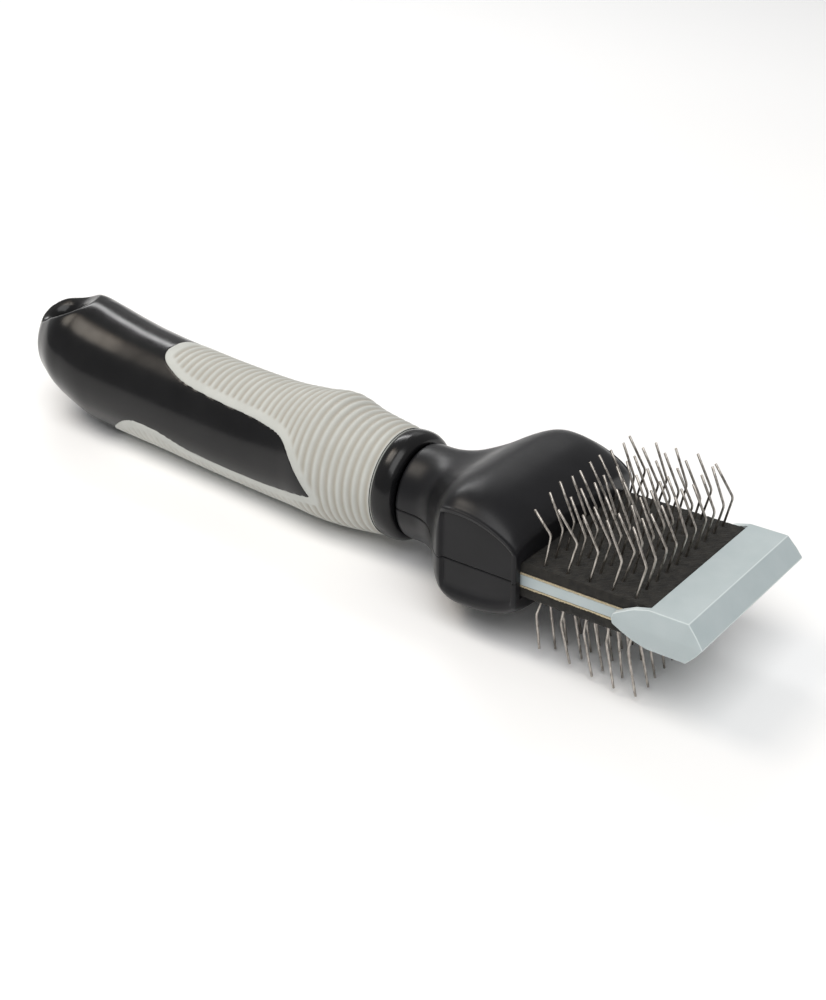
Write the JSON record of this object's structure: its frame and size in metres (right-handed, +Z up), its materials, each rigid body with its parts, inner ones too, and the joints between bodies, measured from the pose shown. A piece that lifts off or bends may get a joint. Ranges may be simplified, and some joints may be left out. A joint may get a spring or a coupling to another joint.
{
  "type": "double-sided flexible slicker brush",
  "caption": "Double-sided slicker brush with a flexible wire-pin blade, black head housing and soft grey grip.",
  "frame": {"origin": "on the surface that the brush lies on, under the middle of its box", "axes": "+X runs from the handle's end to the blade's tip, +Z is up, +Y completes the right-handed set"},
  "size_m": [0.2292, 0.0516, 0.0427],
  "materials": {
    "gloss_black": "polished moulded",
    "satin_black": "satin moulded",
    "soft_grip": "matt ribbed elastomer",
    "pale_plastic": "semi-matt moulded",
    "foundation_cloth": "cut laminated cloth",
    "cushion_black": "fine open foam",
    "pin_steel": "drawn wire",
    "screw_steel": "zinc plated"
  },
  "bodies": {
    "handle": {"handle_core": "gloss_black", "grip_sleeve": "soft_grip", "neck_cross_pin": "screw_steel", "housing_top": "satin_black", "housing_bottom": "satin_black", "clamp_screw_near": "screw_steel", "clamp_screw_far": "screw_steel"},
    "blade": {"flex_plate": "pale_plastic", "end_clip": "pale_plastic", "cloth_top": "foundation_cloth", "cloth_bottom": "foundation_cloth", "cushion_top": "cushion_black", "cushion_bottom": "cushion_black", "pin_row_top_1": "pin_steel", "pin_row_top_2": "pin_steel", "pin_row_top_3": "pin_steel", "pin_row_top_4": "pin_steel", "pin_row_top_5": "pin_steel", "pin_row_bottom_1": "pin_steel", "pin_row_bottom_2": "pin_steel", "pin_row_bottom_3": "pin_steel", "pin_row_bottom_4": "pin_steel", "pin_row_bottom_5": "pin_steel"}
  },
  "joints": [
    {"name": "blade_flex", "type": "hinge", "parent": "handle", "child": "blade", "pos_m": [0.0686, 0, 0.02031], "axis": [0, 1, 0], "range_deg": [-12, 12], "stiffness_Nm_per_rad": 2, "deforming": ["flex_plate"]}
  ]
}
